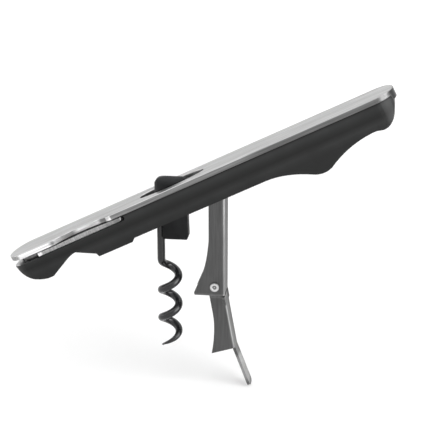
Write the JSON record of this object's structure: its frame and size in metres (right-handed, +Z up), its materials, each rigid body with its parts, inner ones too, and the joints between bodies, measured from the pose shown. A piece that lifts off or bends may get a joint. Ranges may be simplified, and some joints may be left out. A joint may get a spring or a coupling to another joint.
{
  "type": "lever corkscrew",
  "caption": "Lever corkscrew with a long steel-topped grip, a folding worm on a rocking carrier, a two-stage lever with a hinged foot and a foil blade under the plate.",
  "frame": {"origin": "on the worm's axis, at the height where the lever's toe seats on a bottle's rim", "axes": "+Z up along the worm's axis, +X towards the lever and the handle's plain end, +Y away from the blade's open side"},
  "size_m": [0.1211, 0.0134, 0.1005],
  "materials": {
    "plate_steel": "long fine brushing along the handle",
    "grip_black": "satin charcoal-black moulding",
    "lever_steel": "fine brushing along the lever, bright bends",
    "blade_steel": "brushed back, ground edge",
    "carrier_black": "satin black coat",
    "worm_black": "smooth black non-stick coat",
    "frame_steel": "plain pressed sheet",
    "pin_steel": "turned and polished"
  },
  "bodies": {
    "worm_unit": {"worm_carrier": "carrier_black", "worm": "worm_black", "worm_cross_pin": "carrier_black"},
    "handle": {"top_plate": "plate_steel", "plate_studs": "pin_steel", "stud_clips": "frame_steel", "grip_body": "grip_black", "hinge_frame": "frame_steel", "blade_liner": "frame_steel", "blade_pivot_pin": "pin_steel", "blade_stop_pin": "pin_steel", "carrier_pivot_pin": "pin_steel", "carrier_washers": "frame_steel", "lever_pivot_pin": "pin_steel", "lever_washers": "frame_steel"},
    "lever": {"upper_lever": "lever_steel", "knuckle_rivet": "pin_steel", "knuckle_spacer": "frame_steel"},
    "foot": {"lever_foot": "lever_steel"},
    "blade": {"foil_blade": "blade_steel"}
  },
  "joints": [
    {"name": "worm_fold", "type": "hinge", "parent": "worm_unit", "child": "handle", "pos_m": [-0.0012, 0, 0.02841], "axis": [0, -1, 0], "range_deg": [-4, 60]},
    {"name": "lever_swing", "type": "hinge", "parent": "handle", "child": "lever", "pos_m": [0.01559, 0, 0.0363], "axis": [0, -1, 0], "range_deg": [0, 105]},
    {"name": "foot_swing", "type": "hinge", "parent": "lever", "child": "foot", "pos_m": [0.01489, 0, 0.0029], "axis": [0, 1, 0], "range_deg": [0, 24]},
    {"name": "blade_open", "type": "hinge", "parent": "handle", "child": "blade", "pos_m": [-0.04374, -0.0022, 0.01064], "axis": [0.4446, 0, -0.8957], "range_deg": [0, 116]}
  ]
}
